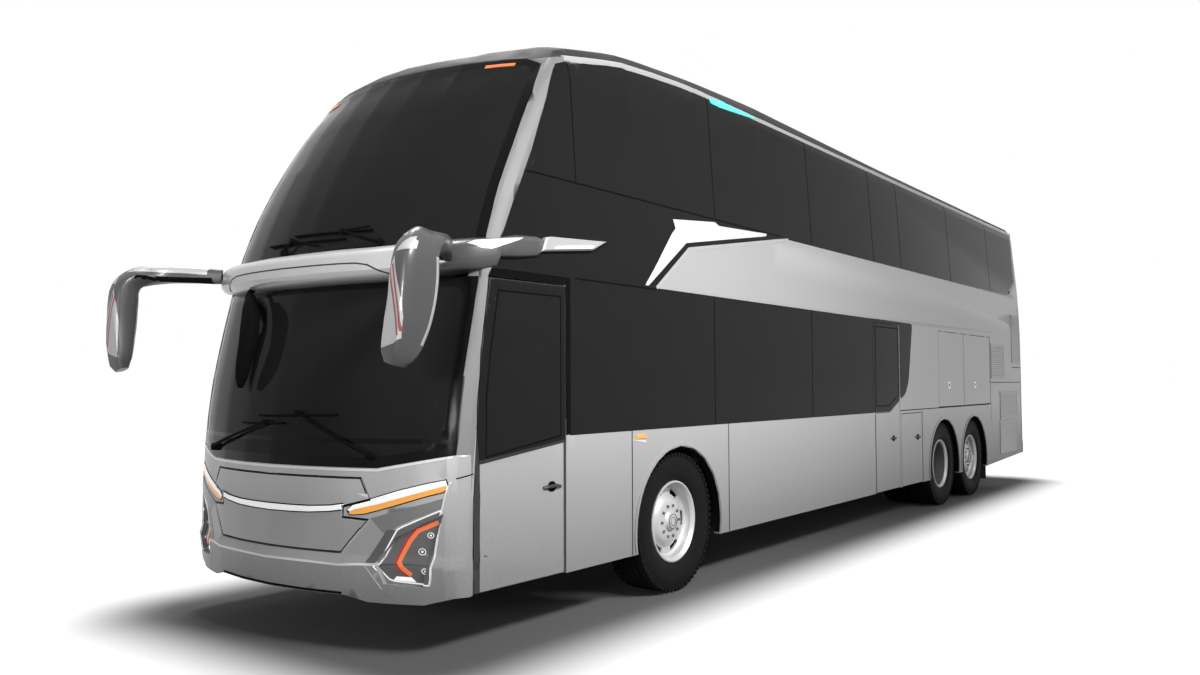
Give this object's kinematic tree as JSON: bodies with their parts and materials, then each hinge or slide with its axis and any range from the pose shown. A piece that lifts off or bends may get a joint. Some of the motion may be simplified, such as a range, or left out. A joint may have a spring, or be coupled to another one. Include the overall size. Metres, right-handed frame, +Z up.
{
  "type": "double-decker coach",
  "caption": "Three-axle double-decker coach with a curved flush-glazed body, a swept-back visor between its windscreens, hanging mirrors, doors, luggage hatches and steered front wheels.",
  "frame": {"origin": "on the ground under the middle of the overall box, on the coach's centre line", "axes": "+X towards the front of the coach, +Y to its left, +Z up"},
  "size_m": [13.56, 3.0548, 4.15],
  "materials": {
    "paint": "metallic grey coachwork paint under clear coat",
    "glazing": "dark tinted flush-bonded glass",
    "black_plastic": "satin black",
    "steel": "dark chassis paint",
    "floor": "matt floor covering",
    "cloth": "woven seat cloth",
    "lamp": "clear lamp lens over amber and white light",
    "tyre": "matt tyre rubber",
    "polished": "polished forged wheel"
  },
  "bodies": {
    "coach_body": {"chassis": "steel", "lower_floor": "floor", "upper_floor": "floor", "roof": "paint", "rear_wall": "paint", "rear_window": "glazing", "front_mask": "paint", "lower_windscreen": "glazing", "upper_windscreen": "glazing", "visor": "paint", "engine": "steel", "dashboard": "black_plastic", "driver_seat": "cloth", "lower_seats": "cloth", "upper_seats": "cloth", "side_wall_left": "paint", "side_glass_left": "glazing", "headlamp_left": "lamp", "mirror_left": "paint", "side_wall_right": "paint", "side_glass_right": "glazing", "headlamp_right": "lamp", "mirror_right": "paint", "front_axle_beam": "steel", "drive_axle": "steel", "tag_axle": "steel"},
    "knuckle_left": {"knuckle_left": "steel"},
    "knuckle_right": {"knuckle_right": "steel"},
    "front_wheel_left": {"front_tyre_left": "tyre", "front_rim_left": "polished"},
    "front_wheel_right": {"front_tyre_right": "tyre", "front_rim_right": "polished"},
    "drive_wheels_left": {"drive_tyre_outer_left": "tyre", "drive_tyre_inner_left": "tyre", "drive_rims_left": "polished"},
    "drive_wheels_right": {"drive_tyre_outer_right": "tyre", "drive_tyre_inner_right": "tyre", "drive_rims_right": "polished"},
    "tag_wheel_left": {"tag_tyre_left": "tyre", "tag_rim_left": "polished"},
    "tag_wheel_right": {"tag_tyre_right": "tyre", "tag_rim_right": "polished"},
    "front_door_leaf": {"front_door": "black_plastic", "front_door_glass": "glazing"},
    "mid_door_leaf": {"mid_door": "black_plastic", "mid_door_glass": "glazing"},
    "service_hatch_leaf_left": {"service_hatch_left": "paint"},
    "service_hatch_leaf_right": {"service_hatch_right": "paint"},
    "luggage_hatch_leaf_front_left": {"luggage_hatch_front_left": "paint"},
    "luggage_hatch_leaf_front_right": {"luggage_hatch_front_right": "paint"},
    "luggage_hatch_leaf_rear_left": {"luggage_hatch_rear_left": "paint"},
    "luggage_hatch_leaf_rear_right": {"luggage_hatch_rear_right": "paint"},
    "front_flap_leaf": {"front_flap": "paint"},
    "engine_door_leaf": {"engine_door": "paint"}
  },
  "joints": [
    {"name": "steer_left", "type": "hinge", "parent": "coach_body", "child": "knuckle_left", "pos_m": [3.82, 0.9, 0.52], "axis": [0, 0, 1], "range_deg": [-38, 38]},
    {"name": "steer_right", "type": "hinge", "parent": "coach_body", "child": "knuckle_right", "pos_m": [3.82, -0.9, 0.52], "axis": [0, 0, 1], "range_deg": [-38, 38]},
    {"name": "front_wheel_spin_left", "type": "hinge", "parent": "knuckle_left", "child": "front_wheel_left", "pos_m": [3.82, 1.11, 0.52], "axis": [0, 1, 0], "continuous": true},
    {"name": "drive_wheel_spin_left", "type": "hinge", "parent": "coach_body", "child": "drive_wheels_left", "pos_m": [-2.6, 0.94, 0.52], "axis": [0, 1, 0], "continuous": true},
    {"name": "tag_wheel_spin_left", "type": "hinge", "parent": "coach_body", "child": "tag_wheel_left", "pos_m": [-3.93, 1.11, 0.52], "axis": [0, 1, 0], "continuous": true},
    {"name": "front_wheel_spin_right", "type": "hinge", "parent": "knuckle_right", "child": "front_wheel_right", "pos_m": [3.82, -1.11, 0.52], "axis": [0, 1, 0], "continuous": true},
    {"name": "drive_wheel_spin_right", "type": "hinge", "parent": "coach_body", "child": "drive_wheels_right", "pos_m": [-2.6, -0.94, 0.52], "axis": [0, 1, 0], "continuous": true},
    {"name": "tag_wheel_spin_right", "type": "hinge", "parent": "coach_body", "child": "tag_wheel_right", "pos_m": [-3.93, -1.11, 0.52], "axis": [0, 1, 0], "continuous": true},
    {"name": "front_door_swing", "type": "hinge", "parent": "coach_body", "child": "front_door_leaf", "pos_m": [6.0646, 1.297, 0.7], "axis": [0, 0, -1], "range_deg": [0, 90]},
    {"name": "mid_door_swing", "type": "hinge", "parent": "coach_body", "child": "mid_door_leaf", "pos_m": [-0.1954, 1.297, 1.2], "axis": [0, 0, -1], "range_deg": [0, 90]},
    {"name": "service_hatch_swing_left", "type": "hinge", "parent": "coach_body", "child": "service_hatch_leaf_left", "pos_m": [-1.0154, 1.297, 0.8], "axis": [0, 0, -1], "range_deg": [0, 90]},
    {"name": "luggage_hatch_lift_front_left", "type": "hinge", "parent": "coach_body", "child": "luggage_hatch_leaf_front_left", "pos_m": [-2.945, 1.297, 2.2046], "axis": [1, 0, 0], "range_deg": [0, 85]},
    {"name": "luggage_hatch_lift_rear_left", "type": "hinge", "parent": "coach_body", "child": "luggage_hatch_leaf_rear_left", "pos_m": [-4.135, 1.297, 2.2046], "axis": [1, 0, 0], "range_deg": [0, 85]},
    {"name": "service_hatch_swing_right", "type": "hinge", "parent": "coach_body", "child": "service_hatch_leaf_right", "pos_m": [-1.0154, -1.297, 0.8], "axis": [0, 0, 1], "range_deg": [0, 90]},
    {"name": "luggage_hatch_lift_front_right", "type": "hinge", "parent": "coach_body", "child": "luggage_hatch_leaf_front_right", "pos_m": [-2.945, -1.297, 2.2046], "axis": [-1, 0, 0], "range_deg": [0, 85]},
    {"name": "luggage_hatch_lift_rear_right", "type": "hinge", "parent": "coach_body", "child": "luggage_hatch_leaf_rear_right", "pos_m": [-4.135, -1.297, 2.2046], "axis": [-1, 0, 0], "range_deg": [0, 85]},
    {"name": "front_flap_lift", "type": "hinge", "parent": "coach_body", "child": "front_flap_leaf", "pos_m": [6.522, 0, 1.0226], "axis": [0, -1, 0], "range_deg": [0, 80]},
    {"name": "engine_door_lift", "type": "hinge", "parent": "coach_body", "child": "engine_door_leaf", "pos_m": [-6.7412, 0, 1.7146], "axis": [0, 1, 0], "range_deg": [0, 80]}
  ],
  "couplings": [
    {"joint": "steer_right", "follows": "steer_left", "ratio": 1}
  ]
}
